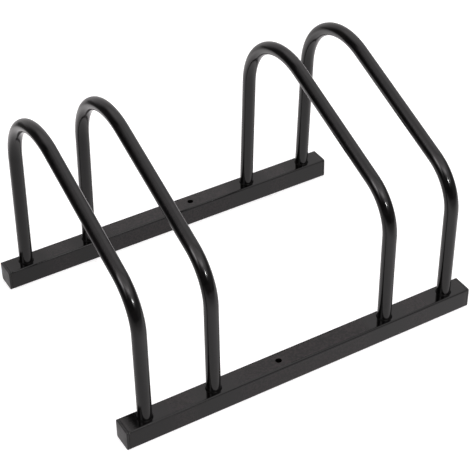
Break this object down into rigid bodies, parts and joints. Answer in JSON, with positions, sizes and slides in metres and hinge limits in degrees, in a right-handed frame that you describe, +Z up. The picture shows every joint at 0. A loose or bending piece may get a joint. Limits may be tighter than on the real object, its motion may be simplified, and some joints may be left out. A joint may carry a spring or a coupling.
{
  "type": "floor bike stand",
  "caption": "Welded tube floor stand for bicycles: paired bent hoops on two square rails hold each wheel upright.",
  "frame": {"origin": "on the floor, under the middle of the stand", "axes": "+X along the rails to the right, +Y to the rear where the hoops are tall, +Z up"},
  "size_m": [0.44, 0.325, 0.2621],
  "materials": {
    "black_coating": "gloss black powder coat on steel tube",
    "coated_weld": "gloss black powder coat over a rippled weld bead",
    "plug_plastic": "satin black moulded plastic"
  },
  "bodies": {
    "root": {"front_rail": "black_coating", "rear_rail": "black_coating", "left_outer_hoop": "black_coating", "left_inner_hoop": "black_coating", "right_outer_hoop": "black_coating", "right_inner_hoop": "black_coating", "left_outer_hoop_front_weld": "coated_weld", "left_outer_hoop_rear_weld": "coated_weld", "left_inner_hoop_front_weld": "coated_weld", "left_inner_hoop_rear_weld": "coated_weld", "right_outer_hoop_front_weld": "coated_weld", "right_outer_hoop_rear_weld": "coated_weld", "right_inner_hoop_front_weld": "coated_weld", "right_inner_hoop_rear_weld": "coated_weld", "front_rail_left_plug": "plug_plastic", "front_rail_right_plug": "plug_plastic", "rear_rail_left_plug": "plug_plastic", "rear_rail_right_plug": "plug_plastic"}
  },
  "joints": []
}
